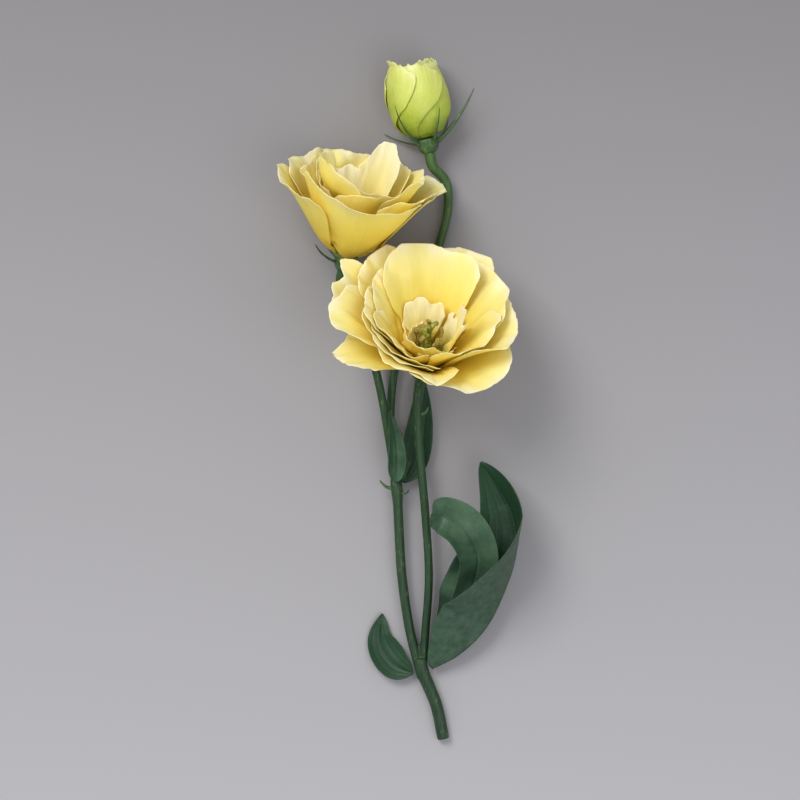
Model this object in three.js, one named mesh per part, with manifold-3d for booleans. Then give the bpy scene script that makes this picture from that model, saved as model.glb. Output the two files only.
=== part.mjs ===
// A cut spray of double lisianthus, laid on its back on a flat surface: one forked stem with
// an open bloom in front, a cup-shaped bloom behind it, a green bud and five leaves.
// Millimetres, +Z up. The surface is z = 0, and the stem runs along +Y from its cut end.

import * as THREE from "three";
import { mergeVertices } from "three/addons/utils/BufferGeometryUtils.js";
import Module from "manifold-3d";

const wasm = await Module();
wasm.setup();

// Driving dimensions ---------------------------------------------------------------------

const GAP = 0.3; // between pieces that touch
const PETAL = 0.75; // thickness of a petal
const LEAF = 0.8; // thickness of a leaf
const CENTRE = [-5.72, 94.1, 0]; // middle of the spray's footprint, which becomes the origin

const STEM = 2.5; // radius of the main stem
const BRANCH = 2; // radius of the branch that carries the upper pair of leaves
const STALK = 1.75; // radius of a flower stalk
const STEM_SIDES = 12;
const STALK_SIDES = 8;
const TURNED_SIDES = 12; // round the calyx cups and the cores of the blooms

// Places along the stem. Three leaves grow round FORK and a pair grows at NODE.
const CUT_END = [12, -44, 2.1];
const FORK = [3, -15, 5];
const NODE = [-7, 58, 6];

// Each bloom stands on its base point and opens along its axis. Heights are along that axis.
const FRONT = { base: [3.5, 107, 20], axis: [0.12, 0.67, 0.73], pistil: 25, stamens: 20 };
const BACK = { base: [-27.5, 152, 12.2], axis: [0.2, 0.88, 0.43], pistil: 22, stamens: 18 };
const BUD = { base: [5, 200, 11], axis: [-0.22, 0.97, 0.1] };
const BUD_LENGTH = 31;
const BUD_RADIUS = 10.8;

const CALYX_DEPTH = 6;
const CALYX_RADIUS = 5;
const SEPAL = 1; // radius of a sepal's root
const CORE_RADIUS = 6.4; // the disc that carries the petals
const CORE_DEPTH = 6.5;
const STAMENS = 5;
const RING_RADIUS = 4.1; // the ring that joins the feet of the stamens

// Colours
const CREAM = 0xf4e596;
const BUD_GREEN = 0xb9cf5c;
const STEM_GREEN = 0x2f5a33;
const LEAF_GREEN = 0x24452f;
const HEART_GREEN = 0xa3ab3c;
const POLLEN = 0xe2b62f;

// Petals ---------------------------------------------------------------------------------

// One row for each petal:
// [azimuth, length, half width, rise at the root, middle and rim, cup, twist, wave, phase,
// depth of the notches between its lobes]
// Angles are degrees. A rise of 90 stands up along the bloom's axis and 0 lies out flat.
// Azimuth 270 is the side nearest the camera above, 0 is its right.
const FRONT_PETALS = {
  outer: [
    [96, 46, 29, 60, 67, 46, 62, 3, 0.7, 0.4, 0],
    [34, 44, 27, 54, 66, 40, 56, 4, 0.8, 1.7, 0],
    [66, 46, 22, 50, 62, 36, 40, 4, 0.8, 3.0, 0],
    [344, 43, 26, 50, 66, 26, 56, 4, 1.0, 2.6, 0],
    [298, 41, 31, 50, 46, 10, 46, 4, 1.4, 0.9, 0.01],
    [256, 43, 22, 50, 58, 20, 44, 6, 1.2, 5.1, 0],
    [212, 45, 13, 44, 42, 6, 26, 4, 1.2, 2.2, 0.02],
    [190, 50, 19, 48, 54, 26, 44, 10, 1.6, 1.1, 0],
    [163, 51, 19, 48, 52, 24, 44, 12, 1.6, 4.4, 0.04],
    [136, 46, 20, 50, 60, 34, 44, 8, 1.4, 2.9, 0],
  ],
  middle: [
    [320, 38, 26, 52, 58, 54, 58, 4, 1.2, 4.8, 0],
    [228, 42, 25, 50, 54, 48, 34, 8, 1.4, 0.8, 0],
    [232, 39, 24, 52, 56, 50, 34, 8, 1.2, 2.1, 0],
    [222, 37, 20, 56, 62, 52, 38, 10, 1.4, 4.0, 0],
    [186, 41, 17, 58, 60, 44, 52, 12, 1.6, 5.6, 0],
    [152, 40, 15, 58, 64, 48, 50, 12, 1.6, 2.0, 0],
  ],
  inner: [
    [240, 25, 15, 62, 78, 66, 60, 10, 1.4, 1.4, 0.03],
    [292, 18, 11, 60, 68, 60, 58, 8, 1.2, 2.4, 0.05],
    [104, 23, 12, 64, 72, 66, 44, 8, 1.2, 0.2, 0.04],
    [150, 18, 7, 60, 84, 130, 50, 10, 0.8, 5.2, 0],
    [336, 38, 5.5, 60, 92, 88, 30, -30, 0.6, 4.1, 0],
    [20, 22, 9, 62, 74, 60, 50, 10, 1.2, 3.6, 0.08],
  ],
};

const BACK_PETALS = {
  outer: [
    [268, 44, 38, 26, 85, 38, 70, 4, 0.9, 0.7, 0],
    [200, 43, 24, 28, 80, 31, 50, 8, 1.2, 2.8, 0],
    [330, 43, 21, 36, 86, 38, 50, 8, 1.2, 4.6, 0.02],
    [12, 44, 20, 36, 80, 32, 46, 8, 1.4, 1.5, 0],
    [82, 40, 24, 36, 76, 38, 50, 8, 1.0, 3.1, 0],
    [146, 41, 23, 36, 78, 34, 48, 8, 1.2, 5.5, 0],
  ],
  middle: [
    [208, 45, 27, 40, 84, 88, 76, 8, 1.0, 1.0, 0],
    [298, 36, 23, 48, 90, 50, 62, 8, 1.0, 2.1, 0],
    [350, 42, 21, 50, 86, 52, 58, 10, 1.2, 3.7, 0],
    [52, 38, 18, 52, 82, 56, 54, 10, 1.2, 4.9, 0],
    [116, 38, 20, 52, 82, 50, 54, 10, 1.0, 0.3, 0],
    [172, 37, 20, 52, 84, 42, 56, 10, 1.2, 5.9, 0],
  ],
  inner: [
    [276, 31, 16, 64, 92, 66, 64, 12, 1.2, 2.5, 0],
    [44, 44, 10, 72, 88, 86, 60, -36, 0.8, 1.2, 0],
    [100, 32, 14, 68, 86, 66, 58, 12, 1.0, 4.2, 0.04],
    [190, 31, 14, 66, 84, 62, 58, 12, 1.2, 3.4, 0],
  ],
};

const ROOT_RADIUS = 5.6; // where a petal leaves the core
const ROOT_HEIGHT = { outer: 2, middle: 3.8, inner: 5.4 };
const CLAW = 2; // half width of a petal's root
const WIDE = 22; // a petal with a larger half width is made with more facets
const WIDE_GRID = [5, 4]; // facets across and along
const NARROW_GRID = [4, 3];

// Heights and radii along a petal's middle line, worked out by adding up short steps.
function middleLine([, length, , low, middle, high], rootHeight) {
  const STEPS = 40;
  const line = [];
  let r = ROOT_RADIUS;
  let z = rootHeight;
  for (let i = 0; i <= STEPS; i += 1) {
    const s = i / STEPS;
    const degrees = low * (1 - s) ** 2 + 2 * middle * s * (1 - s) + high * s * s;
    const rise = THREE.MathUtils.degToRad(degrees);
    line.push([r, z, rise]);
    r += (Math.cos(rise) * length) / STEPS;
    z += (Math.sin(rise) * length) / STEPS;
  }
  return (s) => {
    const at = Math.min(Math.max(s, 0), 1) * STEPS;
    const i = Math.min(Math.floor(at), STEPS - 1);
    return line[i].map((value, k) => THREE.MathUtils.lerp(value, line[i + 1][k], at - i));
  };
}

// A point of a petal: u runs across it from -1 to 1, and v along it from root to rim.
function petalPoint(petal, rootHeight) {
  const [azimuth, , half, , , , cup, twist, wave, phase, notch] = petal;
  const line = middleLine(petal, rootHeight);
  const curl = THREE.MathUtils.degToRad(cup);
  const turn = THREE.MathUtils.degToRad(azimuth);
  const out = new THREE.Vector3(Math.cos(turn), Math.sin(turn), 0);
  const side = new THREE.Vector3(-Math.sin(turn), Math.cos(turn), 0);
  const up = new THREE.Vector3(0, 0, 1);
  return (u, v) => {
    const lobed = notch * v ** 4 * (1 - Math.cos(3 * Math.PI * u + phase));
    const s = v * (1 - 0.26 * Math.abs(u) ** 2.6 + 0.035 * Math.sin(5 * u + phase) * v) - lobed;
    const [r, z, rise] = line(s);
    const width = CLAW + (half - CLAW) * s ** 0.85 * (1.12 - 0.12 * s * s);
    const across = (Math.sin(curl * u) / curl) * width;
    const inward = ((1 - Math.cos(curl * u)) / curl) * width;
    const ruffle = wave * s * s * (0.4 + 0.6 * u * u) * Math.sin(4.2 * u + phase);
    const roll = THREE.MathUtils.degToRad(twist) * s;
    const outer = out.clone().multiplyScalar(Math.sin(rise)).addScaledVector(up, -Math.cos(rise));
    const along = side.clone().multiplyScalar(Math.cos(roll)).addScaledVector(outer, Math.sin(roll));
    const away = outer.multiplyScalar(Math.cos(roll)).addScaledVector(side, -Math.sin(roll));
    return out
      .clone()
      .multiplyScalar(r)
      .addScaledVector(up, z)
      .addScaledVector(along, across)
      .addScaledVector(away, ruffle - inward);
  };
}

// Solids ---------------------------------------------------------------------------------

function toSolid(geometry) {
  geometry.deleteAttribute("normal");
  geometry.deleteAttribute("uv");
  const merged = mergeVertices(geometry, 1e-4);
  return new wasm.Manifold(
    new wasm.Mesh({
      numProp: 3,
      vertProperties: new Float32Array(merged.attributes.position.array),
      triVerts: new Uint32Array(merged.index.array),
    }),
  );
}

function toGeometry(solid) {
  const mesh = solid.getMesh();
  return new THREE.BufferGeometry()
    .setAttribute("position", new THREE.BufferAttribute(new Float32Array(mesh.vertProperties), 3))
    .setIndex(new THREE.BufferAttribute(new Uint32Array(mesh.triVerts), 1));
}

// Joins solids into one body and keeps its outside: loose scraps and sealed pockets go.
function fuse(solids) {
  const whole = solids.reduce((joined, next) => joined.add(next));
  return whole.decompose().reduce((best, next) => (next.volume() > best.volume() ? next : best));
}

// Everything below the surface is pressed flat against it.
function restOnSurface(solid) {
  return fuse([solid.trimByPlane([0, 0, 1], 0)]);
}

// A thin blade of even thickness through point(u, v), split alike on both faces.
function blade(point, columns, rows, thickness) {
  const grid = [];
  for (let i = 0; i <= rows; i += 1) {
    for (let j = 0; j <= columns; j += 1) grid.push(point((2 * j) / columns - 1, i / rows));
  }
  const at = (i, j) =>
    grid[THREE.MathUtils.clamp(i, 0, rows) * (columns + 1) + THREE.MathUtils.clamp(j, 0, columns)];
  const faces = [[], []];
  for (let i = 0; i <= rows; i += 1) {
    for (let j = 0; j <= columns; j += 1) {
      const across = at(i, j + 1).clone().sub(at(i, j - 1));
      const along = at(i + 1, j).clone().sub(at(i - 1, j));
      const normal = across.cross(along).setLength(thickness / 2);
      faces[0].push(at(i, j).clone().add(normal));
      faces[1].push(at(i, j).clone().sub(normal));
    }
  }
  const count = grid.length;
  const positions = [...faces[0], ...faces[1]].flatMap((p) => p.toArray());
  const index = [];
  const quad = (a, b, c, d) => index.push(a, b, c, a, c, d);
  for (let i = 0; i < rows; i += 1) {
    for (let j = 0; j < columns; j += 1) {
      const a = i * (columns + 1) + j;
      const [b, c, d] = [a + 1, a + columns + 2, a + columns + 1];
      quad(a, b, c, d);
      index.push(a + count, c + count, b + count, a + count, d + count, c + count);
    }
  }
  const rim = [];
  for (let j = 0; j < columns; j += 1) rim.push(j);
  for (let i = 0; i < rows; i += 1) rim.push(i * (columns + 1) + columns);
  for (let j = columns; j > 0; j -= 1) rim.push(rows * (columns + 1) + j);
  for (let i = rows; i > 0; i -= 1) rim.push(i * (columns + 1));
  rim.forEach((a, k) => {
    const b = rim[(k + 1) % rim.length];
    quad(a, a + count, b + count, b);
  });
  const geometry = new THREE.BufferGeometry();
  geometry.setAttribute("position", new THREE.Float32BufferAttribute(positions, 3));
  geometry.setIndex(index);
  return toSolid(geometry);
}

// A closed round rod along a smooth curve, whose radius is radiusAt(t) for t from 0 to 1.
function rod(points, radiusAt, steps, sides = STALK_SIDES) {
  const curve = new THREE.CatmullRomCurve3(points.map((p) => new THREE.Vector3(...p)));
  const frames = curve.computeFrenetFrames(steps, false);
  const positions = [];
  const index = [];
  for (let i = 0; i <= steps; i += 1) {
    const middle = curve.getPointAt(i / steps);
    for (let j = 0; j < sides; j += 1) {
      const turn = (j / sides) * 2 * Math.PI;
      const reach = radiusAt(i / steps);
      const p = middle
        .clone()
        .addScaledVector(frames.normals[i], Math.cos(turn) * reach)
        .addScaledVector(frames.binormals[i], Math.sin(turn) * reach);
      positions.push(...p.toArray());
    }
  }
  for (let i = 0; i < steps; i += 1) {
    for (let j = 0; j < sides; j += 1) {
      const a = i * sides + j;
      const b = i * sides + ((j + 1) % sides);
      index.push(a, b, b + sides, a, b + sides, a + sides);
    }
  }
  for (let j = 1; j < sides - 1; j += 1) {
    const end = steps * sides;
    index.push(0, j + 1, j, end, end + j, end + j + 1);
  }
  const geometry = new THREE.BufferGeometry();
  geometry.setAttribute("position", new THREE.Float32BufferAttribute(positions, 3));
  geometry.setIndex(index);
  return toSolid(geometry);
}

// A turned solid about +Z from [radius, height] pairs that start and end on the axis.
function turned(profile, sides) {
  const points = profile.map(([r, z]) => new THREE.Vector2(r, z));
  const geometry = new THREE.LatheGeometry(points, sides);
  geometry.rotateX(Math.PI / 2);
  return toSolid(geometry);
}

// The frame of a bloom: its axis is z, and its azimuth 0 points to +X as far as it can.
function bloomFrame({ base, axis }) {
  const up = new THREE.Vector3(...axis).normalize();
  const right = new THREE.Vector3(1, 0, 0).addScaledVector(up, -up.x).normalize();
  const back = up.clone().cross(right);
  return new THREE.Matrix4()
    .makeBasis(right, back, up)
    .setPosition(...base);
}

function inBloom(solid, bloom) {
  return solid.transform(bloomFrame(bloom).toArray());
}

// A point given in a bloom's own frame by radius, azimuth and height.
function polar(radius, azimuth, height) {
  const turn = THREE.MathUtils.degToRad(azimuth);
  return [radius * Math.cos(turn), radius * Math.sin(turn), height];
}

// Sub-parts ------------------------------------------------------------------------------

function petals(whorls, bloom) {
  const core = turned(
    [
      [0, GAP],
      [4.4, GAP],
      [CORE_RADIUS, 3],
      [CORE_RADIUS - 0.4, 5.4],
      [4, CORE_DEPTH],
      [0, CORE_DEPTH],
    ],
    TURNED_SIDES,
  );
  const blades = Object.entries(whorls).flatMap(([whorl, rows]) =>
    rows.map((petal) => {
      const grid = petal[2] > WIDE ? WIDE_GRID : NARROW_GRID;
      return blade(petalPoint(petal, ROOT_HEIGHT[whorl]), ...grid, PETAL);
    }),
  );
  return restOnSurface(inBloom(fuse([core, ...blades]), bloom));
}

// Sepals of the three calyces: [azimuth, length, rise at the root, bend per step].
const FRONT_SEPALS = [
  [98, 17, 10, 8],
  [170, 18, 6, 8],
  [254, 15, 26, 8],
  [300, 15, 24, 9],
  [26, 18, 8, 8],
];
const BACK_SEPALS = [
  [62, 15, 18, 8],
  [136, 17, 22, 6],
  [205, 16, 24, 8],
  [268, 13, 27, 8],
  [340, 17, 24, 6],
];
const BUD_SEPALS = [
  [46, 16, 16, 8],
  [138, 18, 16, 6],
  [226, 23, 40, 11],
  [296, 18, 36, 12],
  [350, 27, 34, 6],
];

// A cup with long awl-shaped sepals, which lie on the surface where they reach it.
function calyx(bloom, sepals) {
  const cup = turned(
    [
      [0, -CALYX_DEPTH],
      [STALK + 0.5, -CALYX_DEPTH],
      [CALYX_RADIUS - 0.8, -3.2],
      [CALYX_RADIUS, -1],
      [CALYX_RADIUS - 0.8, 0],
      [0, 0],
    ],
    TURNED_SIDES,
  );
  const place = bloomFrame(bloom);
  const awls = sepals.map(([azimuth, length, rise, bend]) => {
    const STEPS = 4;
    const points = [];
    let r = CALYX_RADIUS - 1.2;
    let z = -2.4;
    for (let i = 0; i <= STEPS; i += 1) {
      const point = new THREE.Vector3(...polar(r, azimuth + i * 2, z)).applyMatrix4(place);
      points.push([point.x, point.y, Math.max(point.z, SEPAL)]);
      const slope = THREE.MathUtils.degToRad(rise + bend * i);
      r += (Math.cos(slope) * length) / STEPS;
      z += (Math.sin(slope) * length) / STEPS;
    }
    return rod(points, (t) => SEPAL * (1 - 0.62 * t), 5, 4);
  });
  return fuse([inBloom(cup, bloom), ...awls]);
}

// Ovary, style and two curled stigma lobes.
function pistil(bloom) {
  const height = bloom.pistil;
  const low = CORE_DEPTH + GAP;
  const body = turned(
    [
      [0, low],
      [2.4, low],
      [2.9, low + 3],
      [2.5, low + 6],
      [1.1, low + 8.5],
      [0.85, height - 1],
      [0, height - 0.5],
    ],
    10,
  );
  const lobes = [35, 215].map((azimuth) =>
    rod(
      [
        polar(0.2, azimuth, height - 2),
        polar(1.6, azimuth, height - 0.4),
        polar(3.0, azimuth, height - 1.2),
        polar(2.7, azimuth + 30, height - 3.2),
      ],
      (t) => 0.9 + 0.35 * Math.sin(Math.PI * t),
      6,
      6,
    ),
  );
  return inBloom(fuse([body, ...lobes]), bloom);
}

// Stamens round the ovary, whose feet join in a ring.
function stamens(bloom) {
  const low = CORE_DEPTH + GAP + 0.5;
  const ring = new THREE.TorusGeometry(RING_RADIUS, 0.55, 4, 15).translate(0, 0, low);
  const parts = [toSolid(ring)];
  for (let k = 0; k < STAMENS; k += 1) {
    const azimuth = 18 + (360 / STAMENS) * k;
    const tip = bloom.stamens + 1.2 * Math.sin(2.4 * k);
    const filament = [
      polar(RING_RADIUS, azimuth, low),
      polar(RING_RADIUS + 0.3, azimuth, 14),
      polar(RING_RADIUS + 0.9, azimuth, tip),
    ];
    parts.push(rod(filament, () => 0.45, 2, 4));
    const anther = [
      polar(RING_RADIUS + 0.9, azimuth - 8, tip - 1.6),
      polar(RING_RADIUS + 1, azimuth, tip),
      polar(RING_RADIUS + 0.9, azimuth + 8, tip + 1.6),
    ];
    parts.push(rod(anther, (t) => 0.45 + 0.55 * Math.sin(Math.PI * t), 3, 5));
  }
  return inBloom(fuse(parts), bloom);
}

// The bud's radius at a share of its length.
function budRadius(s) {
  return BUD_RADIUS * (0.28 + 1.63 * s ** 0.55 * (1 - s) ** 0.76 + 0.3 * s * s);
}

// Petals of the bud: [azimuth, half span, height of the top, flare of the tip, share of the radius].
const BUD_PETALS = [
  [304, 88, 0.95, 0.8, 1],
  [24, 76, 1, 3.2, 1],
  [96, 76, 0.97, 0.4, 1],
  [172, 76, 1.08, 0.9, 1],
  [236, 76, 0.98, 0.6, 1],
  [330, 60, 1, 0.6, 0.76],
  [150, 60, 1, 0.4, 0.76],
];

// The bud: petals wound round each other in a spiral, open at the top, on a solid core.
function budPetals() {
  const profile = [[0, GAP]];
  for (let i = 0; i <= 5; i += 1) {
    const s = i / 7;
    const share = i < 2 ? 1 : 0.84;
    profile.push([budRadius(s) * share, GAP + s * BUD_LENGTH]);
  }
  profile.push([0, GAP + 0.74 * BUD_LENGTH]);
  const core = turned(profile, TURNED_SIDES);
  const blades = BUD_PETALS.map(([azimuth, span, top, flare, share]) => {
    const point = (u, v) => {
      const s = (0.06 + 0.94 * v) * top * (1 - 0.24 * Math.abs(u) ** 2.4);
      const wound = (u + 1) * Math.min(1, 4 * s) + flare * s ** 6;
      const reach = budRadius(Math.min(s, 1)) * share + wound;
      const open = 0.34 + 0.66 * Math.min(1, 2.2 * s);
      const slant = 46 * (s - 0.45) - 12 * Math.sin(2 * Math.PI * s);
      const turn = azimuth + u * span * open + slant;
      return new THREE.Vector3(...polar(reach, turn, GAP + s * BUD_LENGTH));
    };
    return blade(point, ...NARROW_GRID, PETAL);
  });
  return restOnSurface(inBloom(fuse([core, ...blades]), BUD));
}

const LEAF_GRID = [6, 8]; // facets across and along

// A number of degrees that changes evenly from one to the next of a list along a leaf.
function degreesAt(list, v) {
  const at = v * (list.length - 1);
  const i = Math.min(Math.floor(at), list.length - 2);
  return THREE.MathUtils.degToRad(THREE.MathUtils.lerp(list[i], list[i + 1], at - i));
}

// A leaf whose midrib runs through points. Its halves rise by fold and are bowed by cup, and
// roll turns it about its midrib. It is broadest at widest, a share of its length.
function leaf({ midrib, half, widest, fold, cup, roll, wave }) {
  const curve = new THREE.CatmullRomCurve3(midrib.map((p) => new THREE.Vector3(...p)));
  const power = Math.log(0.5) / Math.log(widest);
  const point = (u, v) => {
    const middle = curve.getPoint(v);
    const along = curve.getTangent(v);
    const level = new THREE.Vector3(along.y, -along.x, 0).normalize();
    const above = level.clone().cross(along);
    const turn = degreesAt(roll, v);
    const side = level.clone().multiplyScalar(Math.cos(turn)).addScaledVector(above, Math.sin(turn));
    const face = above.multiplyScalar(Math.cos(turn)).addScaledVector(level, -Math.sin(turn));
    const width = half * Math.max(Math.sin(Math.PI * v ** power) ** 0.7, 0.09);
    const bend = THREE.MathUtils.degToRad(cup);
    const rise = degreesAt(fold, v);
    const size = Math.abs(u);
    const out = (Math.sin(bend * size) / bend) * width * Math.cos(rise) * Math.sign(u);
    const lift = ((1 - Math.cos(bend * size)) / bend + size * Math.sin(rise)) * width;
    const ripple = wave * size * Math.sin(9 * v + 2 * u);
    return middle.addScaledVector(side, out).addScaledVector(face, lift + ripple);
  };
  return restOnSurface(blade(point, ...LEAF_GRID, LEAF));
}

const LEAVES = {
  leaf_upper_grey: {
    midrib: [
      [-7.4, 61, 9.6],
      [-7.2, 68, 12],
      [-7.6, 77, 14],
      [-10, 90, 14.6],
    ],
    half: 4.2,
    widest: 0.4,
    fold: [8, 8],
    cup: 50,
    roll: [0, -10, -20],
    wave: 0.3,
  },
  leaf_upper_dark: {
    midrib: [
      [-4.4, 60.5, 4.8],
      [0, 70, 4],
      [2.6, 86, 3.6],
      [3.4, 104, 4],
    ],
    half: 6.2,
    widest: 0.42,
    fold: [4, 4],
    cup: 26,
    roll: [0, 0, 0],
    wave: 0.3,
  },
  leaf_lower_left: {
    midrib: [
      [-0.6, -17.2, 4.2],
      [-8, -13, 2],
      [-13.5, -4, 0.2],
      [-13, 7, 1.8],
    ],
    half: 7,
    widest: 0.42,
    fold: [6, 6],
    cup: 30,
    roll: [0, 0, 0],
    wave: 0.4,
  },
  leaf_lower_right: {
    midrib: [
      [7.2, -15, 5],
      [18, -9, 8],
      [28.5, 1.5, 11],
      [36, 16, 13],
      [41, 32, 14],
      [40, 46, 13.5],
      [35, 57, 13],
      [27, 69, 12],
    ],
    half: 19,
    widest: 0.42,
    fold: [50, 60, 62, 47, 42, 30, 25, 18],
    cup: 40,
    roll: [85, 85, 82, 67, 47, 30, 20, 12],
    wave: 0.8,
  },
  leaf_lower_inner: {
    midrib: [
      [6.4, -7.2, 7.2],
      [12.5, 0, 9.6],
      [19, 10, 12.6],
      [24, 21, 17.5],
      [25.2, 32, 25],
      [19.5, 43, 30.5],
      [12.4, 47.6, 30.6],
      [8.8, 48, 27.8],
      [7.2, 48.2, 23],
    ],
    half: 9,
    widest: 0.6,
    fold: [4, 4],
    cup: 34,
    roll: [50, 12, 0, -8, -10, -5, 0, 0],
    wave: 0.4,
  },
};

// Stem, stalks and small bracts --------------------------------------------------------

// The point of a bloom's axis at a height above its base.
function onAxis({ base, axis }, height) {
  const up = new THREE.Vector3(...axis).normalize();
  return new THREE.Vector3(...base).addScaledVector(up, height).toArray();
}

// A flower stalk through points, which ends straight below its calyx.
function stalkTo(bloom, points) {
  const STRAIGHT = 5;
  const foot = -CALYX_DEPTH - GAP;
  const path = [...points, onAxis(bloom, foot - STRAIGHT), onAxis(bloom, foot)];
  return rod(path, (t) => STALK + 0.5 * t ** 6, path.length * 2);
}

function stem() {
  const belowFork = [3.2, -19, 4.6];
  const main = rod(
    [CUT_END, [9, -30, 3], FORK, [2.4, -11, 5.4]],
    (t) => STEM + 0.4 * t ** 3,
    7,
    STEM_SIDES,
  );
  const branch = rod(
    [belowFork, [-1.6, 0, 5], [-4.9, 22, 5.4], [-6.2, 43, 5.8], NODE, [-7.6, 62, 6]],
    (t) => BRANCH + 0.35 * t ** 8,
    12,
  );
  const front = stalkTo(FRONT, [
    belowFork,
    [4.6, 0, 6],
    [6, 22, 7.4],
    [4.4, 50, 9.2],
    [1.8, 78, 10.4],
    [1.4, 93, 11.6],
  ]);
  const back = stalkTo(BACK, [
    [-7, 56, 6],
    [-10.4, 80, 8.4],
    [-15, 104, 10],
    [-21.6, 126, 11],
  ]);
  const bud = stalkTo(BUD, [
    [-6.8, 56, 5.8],
    [-9.6, 80, 3.4],
    [-8, 106, 2.8],
    [-1, 132, 2.8],
    [9, 154, 3],
    [13.8, 172, 4.2],
    [12.8, 183, 5.6],
  ]);
  const bracts = [
    [[-8, 58, 6.5], [-11.5, 59, 7.4], [-14, 61.5, 8.4]],
    [[-6, 56.4, 6.5], [-3.2, 56.2, 7.6], [-2.2, 57.6, 8.8]],
    [[1.6, 88, 11.4], [4.6, 89, 12.4], [5.8, 91.4, 13.2]],
  ].map((points) => rod(points, (t) => 0.85 - 0.5 * t, 4, 4));
  return restOnSurface(fuse([main, branch, front, back, bud, ...bracts]));
}

// Assembly -------------------------------------------------------------------------------

function named(name, solid, color, roughness) {
  const material = new THREE.MeshStandardMaterial({ color, roughness, metalness: 0 });
  const mesh = new THREE.Mesh(toGeometry(solid), material);
  mesh.name = name;
  return mesh;
}

const spray = new THREE.Group();
spray.position.set(-CENTRE[0], -CENTRE[1], -CENTRE[2]);
spray.add(
  named("stem", stem(), STEM_GREEN, 0.6),
  named("calyx_front", calyx(FRONT, FRONT_SEPALS), STEM_GREEN, 0.6),
  named("calyx_back", calyx(BACK, BACK_SEPALS), STEM_GREEN, 0.6),
  named("calyx_bud", calyx(BUD, BUD_SEPALS), STEM_GREEN, 0.6),
  named("petals_front", petals(FRONT_PETALS, FRONT), CREAM, 0.7),
  named("petals_back", petals(BACK_PETALS, BACK), CREAM, 0.7),
  named("petals_bud", budPetals(), BUD_GREEN, 0.65),
  named("pistil_front", pistil(FRONT), HEART_GREEN, 0.6),
  named("pistil_back", pistil(BACK), HEART_GREEN, 0.6),
  named("stamens_front", stamens(FRONT), POLLEN, 0.8),
  named("stamens_back", stamens(BACK), POLLEN, 0.8),
);
for (const [name, shape] of Object.entries(LEAVES)) {
  spray.add(named(name, leaf(shape), LEAF_GREEN, 0.55));
}

const group = new THREE.Group();
group.add(spray);

export default group;
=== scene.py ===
import bpy
import numpy as np
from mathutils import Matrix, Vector


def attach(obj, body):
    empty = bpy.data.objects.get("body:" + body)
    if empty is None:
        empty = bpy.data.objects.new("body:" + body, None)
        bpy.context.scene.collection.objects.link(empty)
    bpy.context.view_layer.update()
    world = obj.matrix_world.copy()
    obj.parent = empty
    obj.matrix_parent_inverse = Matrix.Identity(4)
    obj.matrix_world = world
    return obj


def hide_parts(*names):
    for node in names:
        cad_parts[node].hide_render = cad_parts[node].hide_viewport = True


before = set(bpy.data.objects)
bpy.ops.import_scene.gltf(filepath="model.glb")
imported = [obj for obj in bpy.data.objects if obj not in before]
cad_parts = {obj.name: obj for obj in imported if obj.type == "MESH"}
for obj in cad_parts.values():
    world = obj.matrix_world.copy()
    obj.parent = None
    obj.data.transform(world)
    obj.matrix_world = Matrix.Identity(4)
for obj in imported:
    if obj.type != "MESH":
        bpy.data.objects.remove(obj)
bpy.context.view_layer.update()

# ---------------------------------------------------------------- the view from above
# The cut spray lies on its back on a pale table, and the camera looks straight down on it with
# the bud at the top of the picture. A pixel of an 800-pixel picture is 0.4 mm at the blooms.
PICTURE_WIDTH = 0.320
CAMERA_HEIGHT = 1.5
BLOOM_HEIGHT = 0.03
SENSOR = 36

camera_data = bpy.data.cameras.new("camera")
camera_data.sensor_width = SENSOR
camera_data.lens = SENSOR * (CAMERA_HEIGHT - BLOOM_HEIGHT) / PICTURE_WIDTH
camera = bpy.data.objects.new("camera", camera_data)
camera.location = (0, 0, CAMERA_HEIGHT)
bpy.context.scene.collection.objects.link(camera)
bpy.context.scene.camera = camera

# ---------------------------------------------------------------- the petals of both blooms
# Soft cream-yellow petals in three whorls, golden near the base, partly their own colour and
# partly painted shade deep in the bloom, with a thin toothed rim and fine fan-shaped veins. Each
# grows from a narrow claw on the green core of its bloom.
MM = 0.001
FOOTPRINT_MIDDLE = np.array([-5.72, 94.1, 0.0])
ROOT_RADIUS = 5.6
ROOT_HEIGHT = {"outer": 2.0, "middle": 3.8, "inner": 5.4}
CLAW = 2.0
PETAL_THICKNESS = 0.36
RIM_THINNING = 0.55
PETAL_ACROSS = 72
PETAL_ALONG = 56
MIDDLE_LINE_STEPS = 40

# How much shorter a petal is at its sides, the depth of the nicks and lobes of its rim as shares
# of its length and of the teeth of its sides as a share of its width, and the height of its
# frills, swells and pleats in millimetres.
ROUNDNESS = 0.26
RIM_NICKS = 0.0028
RIM_LOBES = 0.011
SIDE_TEETH = 0.004
FRILL = 0.38
SWELL = 0.5
PLEAT = 0.018

# Each bloom's base point and axis, in millimetres.
FRONT = ((3.5, 107.0, 20.0), (0.12, 0.67, 0.73))
BACK = ((-27.5, 152.0, 12.2), (0.2, 0.88, 0.43))

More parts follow.
